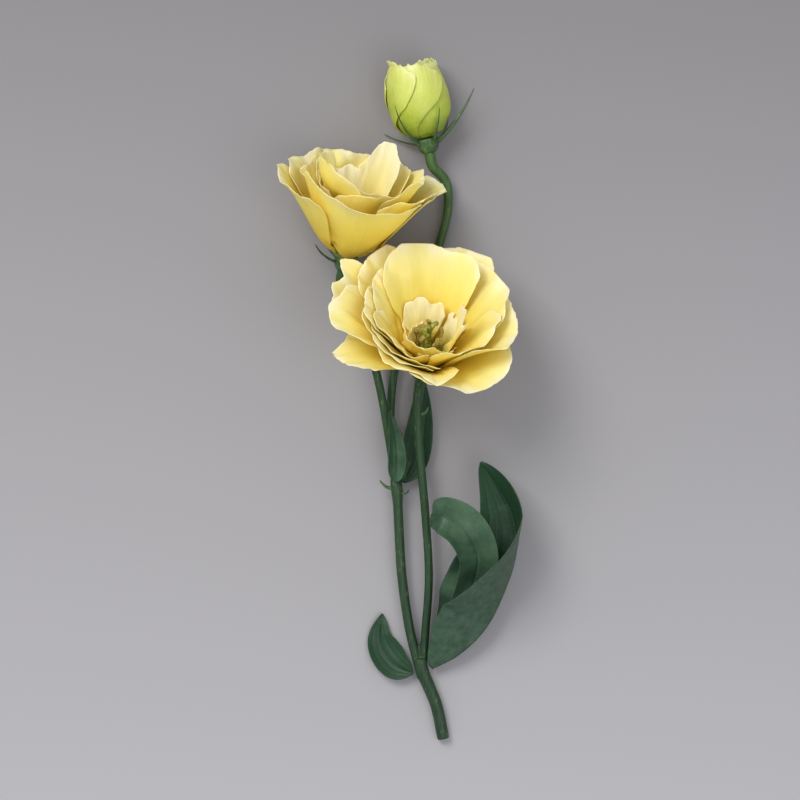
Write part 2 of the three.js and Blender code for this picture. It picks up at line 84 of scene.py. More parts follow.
# One row for each petal: azimuth, length, half width, rise at the root, middle and rim, cup,
# twist, wave, phase, depth of the notches between its lobes. A rise of 90 stands up along the
# bloom's axis and 0 lies out flat.
FRONT_PETALS = {
    "outer": [
        (96, 46, 29, 60, 67, 46, 62, 3, 0.7, 0.4, 0),
        (34, 44, 27, 54, 66, 40, 56, 4, 0.8, 1.7, 0),
        (66, 46, 22, 50, 62, 36, 40, 4, 0.8, 3.0, 0),
        (344, 43, 26, 50, 66, 26, 56, 4, 1.0, 2.6, 0),
        (298, 41, 31, 50, 46, 10, 46, 4, 1.4, 0.9, 0.01),
        (256, 43, 22, 50, 58, 20, 44, 6, 1.2, 5.1, 0),
        (212, 45, 13, 44, 42, 6, 26, 4, 1.2, 2.2, 0.02),
        (190, 50, 19, 48, 54, 26, 44, 10, 1.6, 1.1, 0),
        (163, 51, 19, 48, 52, 24, 44, 12, 1.6, 4.4, 0.04),
        (136, 46, 20, 50, 60, 34, 44, 8, 1.4, 2.9, 0),
    ],
    "middle": [
        (320, 38, 26, 52, 58, 54, 58, 4, 1.2, 4.8, 0),
        (228, 42, 25, 50, 54, 48, 34, 8, 1.4, 0.8, 0),
        (232, 39, 24, 52, 56, 50, 34, 8, 1.2, 2.1, 0),
        (222, 37, 20, 56, 62, 52, 38, 10, 1.4, 4.0, 0),
        (186, 41, 17, 58, 60, 44, 52, 12, 1.6, 5.6, 0),
        (152, 40, 15, 58, 64, 48, 50, 12, 1.6, 2.0, 0),
    ],
    "inner": [
        (240, 25, 15, 62, 78, 66, 60, 10, 1.4, 1.4, 0.03),
        (292, 18, 11, 60, 68, 60, 58, 8, 1.2, 2.4, 0.05),
        (104, 23, 12, 64, 72, 66, 44, 8, 1.2, 0.2, 0.04),
        (150, 18, 7, 60, 84, 130, 50, 10, 0.8, 5.2, 0),
        (336, 38, 5.5, 60, 92, 88, 30, -30, 0.6, 4.1, 0),
        (20, 22, 9, 62, 74, 60, 50, 10, 1.2, 3.6, 0.08),
    ],
}
BACK_PETALS = {
    "outer": [
        (268, 44, 38, 26, 85, 38, 70, 4, 0.9, 0.7, 0),
        (200, 43, 24, 28, 80, 31, 50, 8, 1.2, 2.8, 0),
        (330, 43, 21, 36, 86, 38, 50, 8, 1.2, 4.6, 0.02),
        (12, 44, 20, 36, 80, 32, 46, 8, 1.4, 1.5, 0),
        (82, 40, 24, 36, 76, 38, 50, 8, 1.0, 3.1, 0),
        (146, 41, 23, 36, 78, 34, 48, 8, 1.2, 5.5, 0),
    ],
    "middle": [
        (208, 45, 27, 40, 84, 88, 76, 8, 1.0, 1.0, 0),
        (298, 36, 23, 48, 90, 50, 62, 8, 1.0, 2.1, 0),
        (350, 42, 21, 50, 86, 52, 58, 10, 1.2, 3.7, 0),
        (52, 38, 18, 52, 82, 56, 54, 10, 1.2, 4.9, 0),
        (116, 38, 20, 52, 82, 50, 54, 10, 1.0, 0.3, 0),
        (172, 37, 20, 52, 84, 42, 56, 10, 1.2, 5.9, 0),
    ],
    "inner": [
        (276, 31, 16, 64, 92, 66, 64, 12, 1.2, 2.5, 0),
        (44, 44, 10, 72, 88, 86, 60, -36, 0.8, 1.2, 0),
        (100, 32, 14, 68, 86, 66, 58, 12, 1.0, 4.2, 0.04),
        (190, 31, 14, 66, 84, 62, 58, 12, 1.2, 3.4, 0),
    ],
}


def unit(vectors):
    """Each vector divided by its length."""
    return vectors / np.linalg.norm(vectors, axis=-1, keepdims=True)


def bloom_axes(axis):
    """A bloom's right, away and up directions: up is its axis, and right is level."""
    up = unit(np.array(axis, float))
    right = unit(np.array([1.0, 0.0, 0.0]) - up * up[0])
    return np.stack([right, np.cross(up, right), up])


def in_spray(points, bloom):
    """Points of a bloom's own frame, placed in the spray."""
    return np.array(bloom[0]) + points @ bloom_axes(bloom[1])


def blade_grid(across, along):
    """Steps across a blade from -1 to 1 and along it from 0 to 1, as two grids."""
    return np.meshgrid(np.linspace(-1, 1, across), np.linspace(0, 1, along))


def petal_sheet(row, root_height, u, v):
    """The middle surface of a petal in its bloom's frame. Its middle line starts on the core and
    rises by an angle that goes from root to middle to rim as a quadratic curve. Across that line
    the petal is an arc of the cup angle, turned by the twist. Waves grow with the square of the
    way to the rim. Small frills and a toothed edge are added by the rim, and soft swells and
    shallow pleats over the whole petal."""
    azimuth, length, half, low, middle, high, cup, twist, wave, phase, notch = row
    steps = np.linspace(0, 1, MIDDLE_LINE_STEPS + 1)
    rises = np.radians(low * (1 - steps) ** 2 + 2 * middle * steps * (1 - steps) + high * steps**2)
    step = length / MIDDLE_LINE_STEPS
    radii = ROOT_RADIUS + step * np.concatenate([[0], np.cumsum(np.cos(rises[:-1]))])
    heights = root_height + step * np.concatenate([[0], np.cumsum(np.sin(rises[:-1]))])

    size = np.abs(u)
    s = v * (1 - ROUNDNESS * size**2.6 + 0.035 * np.sin(5 * u + phase) * v)
    s = s - notch * v**4 * (1 - np.cos(3 * np.pi * u + phase))
    nicks = np.sin(31 * u + 5 * phase) + 0.7 * np.sin(53 * u - 3 * phase) + 0.6 * np.sin(89 * u)
    s = s + v**14 * (RIM_NICKS * nicks + RIM_LOBES * np.sin(9 * u + 2 * phase))
    r = np.interp(s, steps, radii)
    z = np.interp(s, steps, heights)
    rise = np.interp(s, steps, rises)
    width = CLAW + (half - CLAW) * np.abs(s) ** 0.85 * (1.12 - 0.12 * s * s)
    teeth = np.sin(47 * v + phase) + 0.7 * np.sin(83 * v - 2 * phase)
    width = width * (1 + SIDE_TEETH * teeth * size**12 * v)
    curl = np.radians(cup)
    across = np.sin(curl * u) / curl * width
    inward = (1 - np.cos(curl * u)) / curl * width
    ruffle = wave * s * s * (0.4 + 0.6 * u * u) * np.sin(4.2 * u + phase)
    edge = np.maximum(v**5, 0.8 * size**9 * v**1.5)
    frill = np.sin(12 * u + 6 * v + 3 * phase) + 0.5 * np.sin(23 * u - 9 * v + phase)
    swell = np.sin(3.1 * u + 5 * v + 2 * phase) * np.sin(6.5 * v - 2 * u + phase)
    pleats = np.sin(37 * u + 2 * phase) + 0.6 * np.sin(61 * u - phase)
    ruffle = ruffle + FRILL * edge * frill + SWELL * s * swell + PLEAT * pleats * np.sqrt(v)
    roll = np.radians(twist) * s

    turn = np.radians(azimuth)
    out = np.array([np.cos(turn), np.sin(turn), 0.0])
    side = np.array([-np.sin(turn), np.cos(turn), 0.0])
    up = np.array([0.0, 0.0, 1.0])
    outer = np.sin(rise)[..., None] * out - np.cos(rise)[..., None] * up
    along = np.cos(roll)[..., None] * side + np.sin(roll)[..., None] * outer
    away = np.cos(roll)[..., None] * outer - np.sin(roll)[..., None] * side
    return (
        r[..., None] * out
        + z[..., None] * up
        + along * across[..., None]
        + away * (ruffle - inward)[..., None]
    )


def facing(sheet):
    """The outward unit normal at each point of a sheet: across it times along it."""
    return unit(np.cross(np.gradient(sheet, axis=1), np.gradient(sheet, axis=0)))


def smoothed(field, times):
    """A field on a grid, averaged with its neighbours both ways, with its border held level."""
    for _ in range(times):
        for axis in (-3, -2):
            wide = np.concatenate(
                [np.take(field, [0], axis), field, np.take(field, [-1], axis)], axis=axis
            )
            n = field.shape[axis]
            before = np.take(wide, range(n), axis)
            after = np.take(wide, range(2, n + 2), axis)
            field = (before + 2 * field + after) / 4
    return field


# The clearance is the gap that petals keep, in millimetres. A point is moved only if it is less
# than the reach too deep and less than the next number beside the nearest point. Petals whose
# azimuths differ by more than OPPOSITE degrees are left alone, and so are points that face away.
CLEARANCE = 0.9
REACH = 7.0
BESIDE = 2.6
OPPOSITE = 150
FACING_ALIKE = 0.1

# The moves are found on a coarse grid, in rounds that each overshoot a little and are smoothed in
# a few passes. A petal is held over the first share of its length, by its claw, and gives way
# more and more over the next.
NEST_ROUNDS = 40
NEST_ACROSS = 23
NEST_ALONG = 19
NEST_STEP = 1.15
NEST_PASSES = 2
HELD_AT_CLAW = 0.16
GIVING_OVER = 0.3


def nested(sheets, rows):
    """How far each point of a bloom's sheets has to move so that few petals pass through each
    other. Of two petals the one that opens wider lies outside. A point that is on the wrong side
    of the nearest point of the other petal, or closer to it than the clearance, is moved along
    that petal's normal, and both give way alike. The moves are smoothed over each petal, and
    they fade out at its root, where the petals of a bloom grow together."""
    start = np.array(sheets)
    now = start.copy()
    openness = np.array([row[3] + 2 * row[4] + 1.5 * row[5] for row in rows])
    azimuths = np.array([row[0] for row in rows])
    way = np.linspace(0, 1, NEST_ALONG)[None, :, None, None]
    fade = np.clip((way - HELD_AT_CLAW) / GIVING_OVER, 0, 1)
    for _ in range(NEST_ROUNDS):
        normals = np.array([facing(sheet) for sheet in now]).reshape(len(now), -1, 3)
        flat = now.reshape(len(now), -1, 3)
        lows = flat.min(axis=1) - CLEARANCE
        highs = flat.max(axis=1) + CLEARANCE
        push = np.zeros_like(flat)
        for a in range(len(now)):
            for b in range(len(now)):
                apart = abs((azimuths[a] - azimuths[b] + 180) % 360 - 180)
                if openness[a] >= openness[b] or apart > OPPOSITE:
                    continue
                if np.any(lows[a] > highs[b]) or np.any(lows[b] > highs[a]):
                    continue
                far = (
                    (flat[a] ** 2).sum(1)[:, None]
                    + (flat[b] ** 2).sum(1)[None, :]
                    - 2 * flat[a] @ flat[b].T
                )
                for mine, other, near, sign in (
                    (a, b, far.argmin(axis=1), 1.0),
                    (b, a, far.argmin(axis=0), -1.0),
                ):
                    offset = flat[mine] - flat[other][near]
                    normal = normals[other][near]
                    depth = (offset * normal).sum(1)
                    beside = np.linalg.norm(offset - depth[:, None] * normal, axis=1)
                    alike = (normals[mine] * normal).sum(1) > FACING_ALIKE
                    short = CLEARANCE - sign * depth
                    hit = (short > 0) & (short < REACH) & (beside < BESIDE) & alike
                    push[mine] += (sign * 0.5 * short * hit)[:, None] * normal
        now = now + NEST_STEP * fade * smoothed(push.reshape(now.shape), NEST_PASSES)
    return now - start


def spread(coarse, fine):
    """Weights that carry values from coarse steps to fine ones, along smooth curves."""
    at = np.linspace(0, coarse - 1, fine)
    i = np.minimum(at.astype(int), coarse - 2)
    t = at - i
    cubic = (
        (-t + 2 * t**2 - t**3) / 2,
        (2 - 5 * t**2 + 3 * t**3) / 2,
        (t + 4 * t**2 - 3 * t**3) / 2,
        (t**3 - t**2) / 2,
    )
    weights = np.zeros((fine, coarse))
    for k, share in zip((-1, 0, 1, 2), cubic):
        np.add.at(weights, (np.arange(fine), np.clip(i + k, 0, coarse - 1)), share)
    return weights


def shell(sheet, thickness):
    """Both faces of a thin blade: its sheet moved out and in by half of its thickness."""
    half = facing(sheet) * np.asarray(thickness)[..., None] / 2
    return np.stack([sheet + half, sheet - half])


def shell_faces(rows, columns):
    """Faces of a closed blade: its outer grid, its inner grid turned round, and the rim."""
    i, j = np.meshgrid(np.arange(rows - 1), np.arange(columns - 1), indexing="ij")
    a = (i * columns + j).ravel()
    count = rows * columns
    outer = np.stack([a, a + 1, a + columns + 1, a + columns], axis=1)
    inner = outer[:, ::-1] + count
    first = np.arange(columns - 1)
    right = np.arange(rows - 1) * columns + columns - 1
    last = (rows - 1) * columns + np.arange(columns - 1, 0, -1)
    left = np.arange(rows - 1, 0, -1) * columns
    rim = np.concatenate([first, right, last, left])
    after = np.roll(rim, -1)
    edge = np.stack([rim, rim + count, after + count, after], axis=1)
    return np.concatenate([outer, inner, edge])


# The least height above the table, in millimetres, of a piece that rests on it.
LOWEST = 0.03


def write_piece(name, points, faces, material, uv=None, values=None):
    """A smooth mesh in metres from points in the spray's millimetres, with its UV map and its
    other values stored at its points."""
    mesh = bpy.data.meshes.new(name)
    mesh.from_pydata((points - FOOTPRINT_MIDDLE) * MM, [], faces)
    mesh.shade_smooth()
    if uv is not None:
        corners = np.empty(len(mesh.loops), dtype=np.int32)
        mesh.loops.foreach_get("vertex_index", corners)
        mesh.uv_layers.new(name="UVMap").uv.foreach_set("vector", uv[corners].ravel())
    for key, numbers in (values or {}).items():
        mesh.attributes.new(key, "FLOAT", "POINT").data.foreach_set("value", numbers)
    mesh.materials.append(material)
    mesh.update()
    piece = bpy.data.objects.new(name, mesh)
    bpy.context.scene.collection.objects.link(piece)
    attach(piece, "root")
    return piece


FIRST_TONE = 0.37
GOLDEN = 0.618


def blades(name, sheets, thickness, uv, material):
    """One piece of several blades on like grids. The value outer is 1 on their outer faces, and
    tone is a number of its own for each blade, from steps of the golden section."""
    rows, columns = sheets[0].shape[:2]
    count = 2 * rows * columns
    faces = shell_faces(rows, columns)
    points = np.concatenate([shell(sheet, thickness).reshape(-1, 3) for sheet in sheets])
    points[:, 2] = np.maximum(points[:, 2], LOWEST)
    all_faces = np.concatenate([faces + k * count for k in range(len(sheets))])
    one_side = uv.reshape(-1, 2)
    all_uv = np.tile(np.concatenate([one_side, one_side]), (len(sheets), 1))
    outer = np.tile(np.repeat([1.0, 0.0], rows * columns), len(sheets))
    tone = np.repeat([(FIRST_TONE + GOLDEN * k) % 1 for k in range(len(sheets))], count)
    return write_piece(name, points, all_faces, material, all_uv, {"outer": outer, "tone": tone})


class Shading:
    """A material's node tree, with short names for the nodes that these materials use."""

    def __init__(self, name, **settings):
        self.material = bpy.data.materials.new(name)
        self.material.use_nodes = True
        self.tree = self.material.node_tree
        self.surface = self.tree.nodes["Principled BSDF"]
        for key, value in settings.items():
            self.surface.inputs[key.replace("_", " ").title()].default_value = value

    def node(self, kind, **inputs):
        made = self.tree.nodes.new(kind)
        for key, value in inputs.items():
            self.put(made.inputs[key.replace("_", " ")], value)
        return made

    def put(self, socket, value):
        if isinstance(value, bpy.types.NodeSocket):
            self.tree.links.new(value, socket)
        else:
            socket.default_value = value

    def attribute(self, name):
        made = self.tree.nodes.new("ShaderNodeAttribute")
        made.attribute_name = name
        return made.outputs["Fac"]

    def place(self, source, scale=(1, 1, 1)):
        """Object or UV coordinates, stretched."""
        coordinates = self.tree.nodes.new("ShaderNodeTexCoord").outputs[source]
        return self.node("ShaderNodeMapping", Vector=coordinates, Scale=scale).outputs[0]

    def part(self, axis, source, scale=(1, 1, 1)):
        """One of the three parts of such coordinates."""
        return self.node("ShaderNodeSeparateXYZ", Vector=self.place(source, scale)).outputs[axis]

    def noise(self, vector, scale, detail=3.0, roughness=0.5):
        made = self.node("ShaderNodeTexNoise", Vector=vector, Scale=scale, Detail=detail)
        made.inputs["Roughness"].default_value = roughness
        return made.outputs["Fac"]

    def ramp(self, value, stops):
        """A colour ramp through (position, colour) stops."""
        made = self.node("ShaderNodeValToRGB", Fac=value)
        ramp = made.color_ramp
        ramp.elements[0].position, ramp.elements[1].position = stops[0][0], stops[-1][0]
        ramp.elements[0].color, ramp.elements[1].color = (*stops[0][1], 1), (*stops[-1][1], 1)
        for position, color in stops[1:-1]:
            ramp.elements.new(position).color = (*color, 1)
        return made.outputs["Color"]

    def share(self, value, start, end, most):
        """A share that goes from 0 to most as the value goes from start to end."""
        return self.ramp(value, [(start, (0, 0, 0)), (end, (most, most, most))])

    def mix(self, share, one, two, blend="MIX"):
        made = self.tree.nodes.new("ShaderNodeMix")
        made.data_type = "RGBA"
        made.blend_type = blend
        self.put(made.inputs["Factor"], share)
        for socket, value in ((made.inputs[6], one), (made.inputs[7], two)):
            self.put(socket, value if isinstance(value, bpy.types.NodeSocket) else (*value, 1))
        return made.outputs[2]

    def tinted(self, color, tint):
        """A colour multiplied by a tint."""
        return self.mix(1.0, color, tint, "MULTIPLY")

    def math(self, operation, one, two=0.0):
        made = self.tree.nodes.new("ShaderNodeMath")
        made.operation = operation
        self.put(made.inputs[0], one)
        self.put(made.inputs[1], two)
        return made.outputs[0]

    def finish(self, color, height=None, distance=0.0, roughness=None):
        self.put(self.surface.inputs["Base Color"], color)
        if roughness is not None:
            self.put(self.surface.inputs["Roughness"], roughness)
        if height is not None:
            bump = self.node("ShaderNodeBump", Height=height, Distance=distance)
            self.put(self.surface.inputs["Normal"], bump.outputs[0])
        return self.material


def petal_finish(name, stops):
    """The colours of stops from claw to rim, with fan veins that follow the petal, faint
    mottling and a slightly deeper back."""
    look = Shading(name, roughness=0.55, subsurface_weight=0.3, subsurface_scale=0.004)
    look.surface.inputs["Subsurface Radius"].default_value = (1.0, 0.72, 0.28)
    look.surface.inputs["Specular IOR Level"].default_value = 0.3
    uneven = look.noise(look.place("UV", (5, 1.5, 1)), 1.0)
    shift = look.math("MULTIPLY", look.math("SUBTRACT", uneven, 0.5), 0.3)
    # The ramp of the stops, darker and more golden towards the claw, is partly the petals' own
    # colour and partly painted shade of the bloom's depth.
    base = look.ramp(look.math("ADD", look.part("Y", "UV"), shift), stops)
    veins = look.noise(look.place("UV", (70, 2.2, 1)), 1.0, 4.0, 0.6)
    veined = look.mix(
        look.share(veins, 0.46, 0.7, 0.4),
        base,
        look.tinted(base, (0.95, 0.88, 0.72)),
    )
    mottle = look.noise(look.place("Object"), 130.0, 4.0)
    mottled = look.mix(
        look.share(mottle, 0.35, 0.7, 0.5),
        veined,
        look.tinted(veined, (1.02, 0.97, 0.84)),
    )
    toned = look.mix(
        look.math("MULTIPLY", look.attribute("tone"), 0.35),
        mottled,
        look.tinted(mottled, (0.98, 0.94, 0.80)),
    )
    backed = look.mix(
        look.math("MULTIPLY", look.attribute("outer"), 0.7),
        toned,
        look.tinted(toned, (0.97, 0.88, 0.48)),
    )
    return look.finish(backed, veins, 0.00012)


# The petals are golden at the claw, cream-yellow in the middle and pale at the rim. The small
# inner ones are olive at the claw and creamier above it. The gold and olive towards the claw are
# partly the petals' own colour and partly painted shade, where the bloom's depth is dark.
petal_material = petal_finish(
    "petal",
    [
        (0.0, (0.46, 0.52, 0.10)),
        (0.13, (0.88, 0.57, 0.04)),
        (0.36, (0.95, 0.69, 0.095)),
        (0.62, (0.955, 0.775, 0.17)),
        (0.9, (0.965, 0.85, 0.32)),
        (1.0, (0.98, 0.90, 0.52)),
    ],
)
inner_petal_material = petal_finish(
    "inner_petal",
    [
        (0.0, (0.16, 0.19, 0.04)),
        (0.2, (0.36, 0.33, 0.06)),
        (0.4, (0.90, 0.72, 0.18)),
        (0.65, (0.97, 0.88, 0.44)),
        (1.0, (0.99, 0.93, 0.64)),
    ],
)


def bloom_petals(title, whorls, bloom, node):
    """The whorls of a bloom, one piece each. The moves that keep its petals apart are found on a
    coarse grid and carried over to the fine one."""
    rows = [row for group in whorls.values() for row in group]
    roots = [ROOT_HEIGHT[whorl] for whorl, group in whorls.items() for _ in group]
    coarse = blade_grid(NEST_ACROSS, NEST_ALONG)
    moves = nested([petal_sheet(row, z, *coarse) for row, z in zip(rows, roots)], rows)
    down = spread(NEST_ALONG, PETAL_ALONG)
    across = spread(NEST_ACROSS, PETAL_ACROSS)
    u, v = blade_grid(PETAL_ACROSS, PETAL_ALONG)
    uv = np.stack([u / 2 + 0.5, v], axis=-1)
    rim = np.maximum(v**8, np.abs(u) ** 14 * v)
    thickness = PETAL_THICKNESS * (1 - RIM_THINNING * rim)
    first = 0
    for whorl, group in whorls.items():
        sheets = []
        for k in range(first, first + len(group)):
            moved = np.einsum("ij,jkc,lk->ilc", down, moves[k], across)
            sheets.append(in_spray(petal_sheet(rows[k], roots[k], u, v) + moved, bloom))
        first += len(group)
        material = inner_petal_material if whorl == "inner" else petal_material
        piece = blades(f"{title}_{whorl}", sheets, thickness, uv, material)
        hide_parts(node)


bloom_petals("front_petals", FRONT_PETALS, FRONT, "petals_front")
bloom_petals("back_petals", BACK_PETALS, BACK, "petals_back")

# ---------------------------------------------------------------- the hearts of the blooms
# In each bloom a green core carries an olive ovary with a short style, whose stigma has two
# yellow-green curled lobes. Five pale filaments round it end in dusty yellow anthers.
CORE_PROFILE = [(0.1, 0.3), (4.4, 0.3), (6.2, 2.4), (6.3, 4.2), (5.0, 6.0), (0.1, 6.5)]
PISTIL_PROFILE = [(0.1, 6.8), (2.3, 6.8), (2.9, 9.4), (2.8, 11.6), (1.7, 14.0), (0.95, 16.5)]
LOBE_RADIUS = 1.05
LOBE_KNOBS = 0.12
STAMENS = 5
STAMEN_VARIES = 1.2
FILAMENT_RADIUS = 0.42
ANTHER_RADIUS = 0.72
ANTHER_SPLIT = 0.35


def with_ends(points):
    """Points with one more beyond each end, and the square roots of the gaps between them."""
    points = np.array(points, float)
    ends = np.concatenate([[2 * points[0] - points[1]], points, [2 * points[-1] - points[-2]]])
    return ends, np.linalg.norm(np.diff(ends, axis=0), axis=1) ** 0.5


def between(p, d, t):
    """The part of a centripetal Catmull-Rom curve that joins the middle two of four points p, at
    shares t of its way, from the square roots d of the three gaps."""
    m1 = ((p[1] - p[0]) / d[0] - (p[2] - p[0]) / (d[0] + d[1]) + (p[2] - p[1]) / d[1]) * d[1]
    m2 = ((p[2] - p[1]) / d[1] - (p[3] - p[1]) / (d[1] + d[2]) + (p[3] - p[2]) / d[2]) * d[1]
    return (
        (2 * t**3 - 3 * t**2 + 1) * p[1]
        + (t**3 - 2 * t**2 + t) * m1
        + (3 * t**2 - 2 * t**3) * p[2]
        + (t**3 - t**2) * m2
    )


def smooth_path(points, count):
    """A curve through points, cut into steps of even length."""
    ends, gaps = with_ends(points)
    t = np.linspace(0, 1, 24, endpoint=False)[:, None]
    parts = [between(ends[k : k + 4], gaps[k : k + 3], t) for k in range(len(points) - 1)]
    fine = np.concatenate([*parts, [ends[-2]]])
    way = np.concatenate([[0], np.cumsum(np.linalg.norm(np.diff(fine, axis=0), axis=1))])
    even = np.linspace(0, way[-1], count)
    return np.stack([np.interp(even, way, fine[:, k]) for k in range(3)], axis=1)


def rings_faces(rings, sides):
    """Faces of a closed tube: bands between its rings, and strips across its two ends."""
    i, j = np.meshgrid(np.arange(rings - 1), np.arange(sides), indexing="ij")
    a = (i * sides + j).ravel()
    b = (i * sides + (j + 1) % sides).ravel()
    bands = np.stack([a, b, b + sides, a + sides], axis=1)
    k = np.arange(sides // 2 - 1)
    cap = np.stack([k, k + 1, sides - 2 - k, sides - 1 - k], axis=1)
    return np.concatenate([bands, cap[:, ::-1], cap + (rings - 1) * sides])


def tube(path, radius, sides=12, flat=1.0):
    """Rings round a path, as points and faces. Each ring stands square to the path, with its
    first spoke turned towards the direction that the path runs along least, and flat squeezes
    the ring along that spoke."""
    way = unit(np.gradient(path, axis=0))
    least = np.zeros(3)
    least[np.abs(way).mean(axis=0).argmin()] = 1.0
    spoke = unit(least - (way @ least)[:, None] * way)
    other = np.cross(way, spoke)
    turn = np.linspace(0, 2 * np.pi, sides, endpoint=False)
    reach = np.broadcast_to(radius, len(path))[:, None, None]
    rings = path[:, None] + reach * (
        flat * np.cos(turn)[None, :, None] * spoke[:, None]
        + np.sin(turn)[None, :, None] * other[:, None]
    )
    return rings.reshape(-1, 3), rings_faces(len(path), sides)


def tapered(t, radius, tip):
    """A radius that goes from full to a share of it, and closes round at both ends over a 24th
    of the way."""
    closing = np.sqrt(np.clip(np.minimum(t, 1 - t) * 24, 0.004, 1))
    return radius * (1 - (1 - tip) * t) * closing


LEAST_RADIUS = 0.02


def turned(profile, sides=48, count=40):
    """A turned solid round the bloom's axis from (radius, height) pairs, smoothed."""
    path = smooth_path([(r, 0, z) for r, z in profile], count)
    turn = np.linspace(0, 2 * np.pi, sides, endpoint=False)
    radius = np.maximum(path[:, 0], LEAST_RADIUS)[:, None]
    height = np.repeat(path[:, 2][:, None], sides, axis=1)
    rings = np.stack([radius * np.cos(turn), radius * np.sin(turn), height], axis=-1)
    return rings.reshape(-1, 3), rings_faces(count, sides)


def polar(radius, azimuth, height):
    """A point of a bloom's frame from its radius, azimuth in degrees and height."""
    turn = np.radians(azimuth)
    return (radius * np.cos(turn), radius * np.sin(turn), height)


def joined(parts):
    """Points and faces of several solids, one after the other."""
    counts = np.cumsum([0] + [len(points) for points, _ in parts[:-1]])
    points = np.concatenate([points for points, _ in parts])
    return points, np.concatenate([faces + n for (_, faces), n in zip(parts, counts)])


heart_look = Shading("pistil", roughness=0.4, subsurface_weight=0.15, subsurface_scale=0.002)
heart_bumps = heart_look.noise(heart_look.place("Object"), 700.0, 4.0)
heart_color = heart_look.ramp(
    heart_bumps,
    [(0.3, (0.09, 0.11, 0.02)), (0.5, (0.20, 0.22, 0.03)), (0.75, (0.48, 0.50, 0.08))],
)
heart_material = heart_look.finish(heart_color, heart_bumps, 0.0002)
anther_look = Shading("stamen", roughness=0.8)
grains = anther_look.noise(anther_look.place("Object"), 2600.0, 2.0)
anther_color = anther_look.ramp(
    grains,
    [(0.3, (0.20, 0.15, 0.03)), (0.55, (0.38, 0.29, 0.06)), (0.8, (0.66, 0.55, 0.18))],
)
anther_material = anther_look.finish(anther_color, grains, 0.0003)


def heart(suffix, bloom, pistil_height, stamen_height):
    """The core, pistil and stamens of a bloom, from the heights of its stigma and anthers."""
    body = [*PISTIL_PROFILE, (0.8, pistil_height - 1.5), (0.1, pistil_height - 0.4)]
    parts = [turned(CORE_PROFILE), turned(body)]
    t = np.linspace(0, 1, 30)
    for azimuth in (35, 215):
        lobe = smooth_path(
            [
                polar(0.2, azimuth, pistil_height - 2.4),
                polar(1.5, azimuth, pistil_height - 0.2),
                polar(3.2, azimuth + 6, pistil_height - 0.8),
                polar(3.4, azimuth + 30, pistil_height - 2.6),
                polar(2.2, azimuth + 52, pistil_height - 3.2),
            ],
            30,
        )
        knobs = 1 + LOBE_KNOBS * np.sin(40 * t)
        parts.append(tube(lobe, tapered(t, LOBE_RADIUS, 0.75) * knobs, 14))
    points, faces = joined(parts)
    pistil = write_piece(f"{suffix}_pistil", in_spray(points, bloom), faces, heart_material)
    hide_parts(f"pistil_{suffix}")

    filaments = []
    for k in range(STAMENS):
        azimuth = 18 + 360 / STAMENS * k
        tip = stamen_height + STAMEN_VARIES * np.sin(2.4 * k)
        way = [polar(4.0, azimuth, 6.2), polar(4.5, azimuth, 13), polar(5.0, azimuth, tip - 0.8)]
        filaments.append(tube(smooth_path(way, 30), tapered(t, FILAMENT_RADIUS, 0.7), 10))
        lobe = [
            polar(4.9, azimuth - 9, tip - 1.9),
            polar(5.4, azimuth, tip + 0.2),
            polar(4.8, azimuth + 9, tip + 1.9),
        ]
        for shift in (-ANTHER_SPLIT, ANTHER_SPLIT):
            path = smooth_path(lobe, 30) + np.array(polar(shift, azimuth + 60, 0))
            filaments.append(tube(path, tapered(t, ANTHER_RADIUS, 0.9), 12))
    points, faces = joined(filaments)
    stamens = write_piece(f"{suffix}_stamens", in_spray(points, bloom), faces, anther_material)
    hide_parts(f"stamens_{suffix}")


heart("front", FRONT, 25, 20)
heart("back", BACK, 22, 18)

# ---------------------------------------------------------------- the bud
# A green bud whose petals are wound round each other, each with one edge over its neighbour.
# Their toothed tips stand open at the top, yellow-green against the greener flanks.
BUD = ((5.0, 200.0, 11.0), (-0.22, 0.97, 0.1))
BUD_LENGTH = 31.0
BUD_RADIUS = 10.8
BUD_THICKNESS = 0.5
BUD_THINNING = 0.5
BUD_FOOT = 0.3
BUD_ACROSS = 84
BUD_ALONG = 72

# Half of how far out the loose edge of a petal stands and how high its ripple is, in millimetres,
# how far it leans from foot to tip and sways on the way, in degrees, and how deep its teeth are,
# as a share of its length.
BUD_WOUND = 1.0
BUD_RIPPLE = 0.12
BUD_LEAN = 46
BUD_SWAY = 12
BUD_TEETH = 0.012

# The core that closes the inside of the bud: its height and radius as shares of the bud's, and
# its top in millimetres.
BUD_CORE_HEIGHT = 0.72
BUD_CORE_RADIUS = 0.8
BUD_CORE_TOP = 24.5

# Azimuth, half span, height of the top, flare of the tip, share of the radius.
BUD_PETALS = [
    (304, 88, 0.95, 0.8, 1.0),
    (24, 76, 1.0, 3.2, 1.0),
    (96, 76, 0.97, 0.4, 1.0),
    (172, 76, 1.08, 0.9, 1.0),
    (236, 76, 0.98, 0.6, 1.0),
    (330, 60, 1.0, 0.6, 0.76),
    (150, 60, 1.0, 0.4, 0.76),
]


def bud_radius(s):
    """The bud's radius at a share of its length: widest below the middle, narrow at the top."""
    return BUD_RADIUS * (0.28 + 1.63 * s**0.55 * (1 - s) ** 0.76 + 0.3 * s * s)


